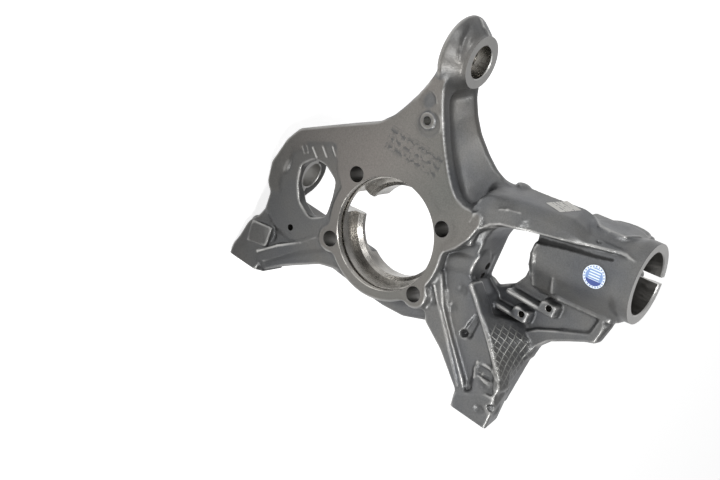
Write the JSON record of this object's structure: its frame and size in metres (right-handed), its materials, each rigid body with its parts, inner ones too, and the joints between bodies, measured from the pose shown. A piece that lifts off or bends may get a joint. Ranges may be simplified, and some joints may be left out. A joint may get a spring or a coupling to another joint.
{
  "type": "steering knuckle",
  "caption": "Cast aluminium steering knuckle with a stepped hub bore, a steering arm with an eye, a slit strut clamp tube, brake caliper legs and a ball joint boss.",
  "frame": {"origin": "wheel axis at the outboard face of the hub flange", "axes": "+Z is vehicle up, +Y inboard along the wheel axis, -X the side of the steering arm, +X the side of the brake caliper"},
  "size_m": [0.2727, 0.1093, 0.3281],
  "materials": {
    "cast_aluminium": "as cast, with machined faces",
    "round_label_film": "printed film",
    "paper_label": "printed film"
  },
  "bodies": {
    "root": {"knuckle_casting": "cast_aluminium", "round_label": "round_label_film", "rectangular_label": "paper_label"}
  },
  "joints": []
}
